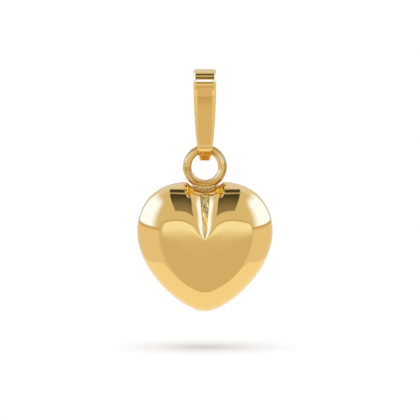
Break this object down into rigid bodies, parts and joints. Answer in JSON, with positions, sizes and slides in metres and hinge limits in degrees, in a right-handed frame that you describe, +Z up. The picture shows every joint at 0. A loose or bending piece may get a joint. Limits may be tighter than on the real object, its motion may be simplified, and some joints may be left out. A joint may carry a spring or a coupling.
{
  "type": "heart pendant",
  "caption": "Puffed heart pendant: a hollow domed heart with a soldered ring, hanging in the folded foot of a tapered strap bail.",
  "frame": {"origin": "the chain's seat: the inner top of the bail's arch, on the pendant's middle planes", "axes": "+Z up towards the chain, -Y out of the pendant's front, +X to the right seen from the front and along the chain"},
  "size_m": [0.01, 0.0046, 0.018],
  "materials": {
    "polished_gold": "mirror polished yellow gold"
  },
  "bodies": {
    "bail": {"bail": "polished_gold"},
    "heart": {"heart_front": "polished_gold", "heart_back": "polished_gold", "jump_ring": "polished_gold", "solder": "polished_gold"}
  },
  "joints": [
    {"name": "bail_swing", "type": "hinge", "parent": "bail", "child": "heart", "pos_m": [0, 0, -0.00564], "axis": [1, 0, 0], "range_deg": [-130, 130]}
  ]
}
